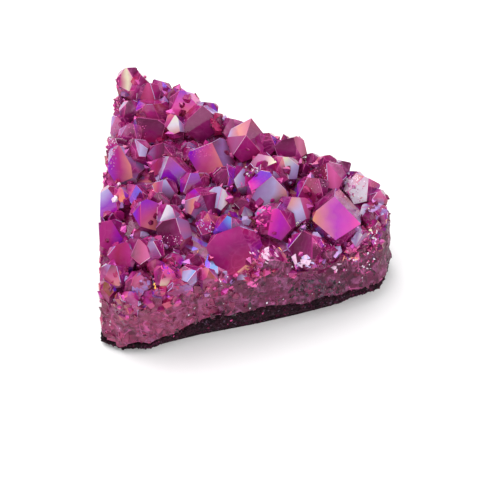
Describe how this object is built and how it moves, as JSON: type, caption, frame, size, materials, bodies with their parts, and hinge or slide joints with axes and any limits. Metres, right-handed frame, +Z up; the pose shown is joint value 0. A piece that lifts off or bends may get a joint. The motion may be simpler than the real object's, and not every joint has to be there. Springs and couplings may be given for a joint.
{
  "type": "quartz cluster",
  "caption": "Triangular crust of pointed magenta quartz crystals grown together, with broken side walls, on a thin rind of dark host rock with a flat underside.",
  "frame": {"origin": "bottom centre of the bounding box, on the surface that the rock rests on", "axes": "+Z up out of the crystal face, +X along the broken front wall to the right, +Y towards the back corner"},
  "size_m": [0.06, 0.0598, 0.0261],
  "materials": {
    "magenta_quartz": "glossy coated crystal faces, iridescent, milky at their roots",
    "host_rock": "dull, rough, speckled"
  },
  "bodies": {
    "root": {"quartz_crust": "magenta_quartz", "matrix_rock": "host_rock"}
  },
  "joints": []
}
